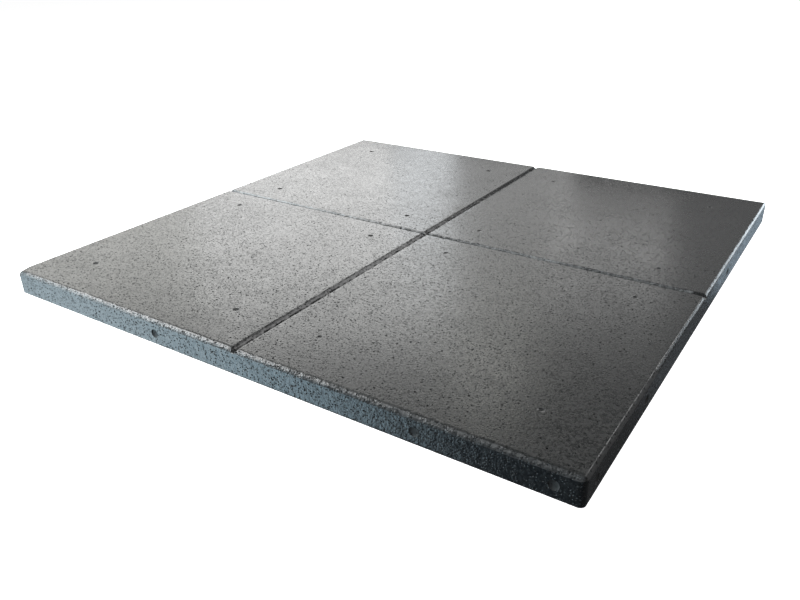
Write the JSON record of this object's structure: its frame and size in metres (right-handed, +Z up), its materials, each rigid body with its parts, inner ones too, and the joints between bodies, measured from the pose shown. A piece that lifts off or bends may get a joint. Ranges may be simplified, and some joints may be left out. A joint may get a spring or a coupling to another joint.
{
  "type": "rubber floor tile",
  "caption": "Square slab of pressed rubber with bevelled top edges and crossing false joints that divide its top into four squares.",
  "frame": {"origin": "centre of the underside", "axes": "+Z up, out of the top face; X and Y along the sides and the false joints"},
  "size_m": [1, 1, 0.04],
  "materials": {
    "rubber": "satin, pressed granulate with a closed skin and small open pits"
  },
  "bodies": {
    "root": {"tile": "rubber"}
  },
  "joints": []
}
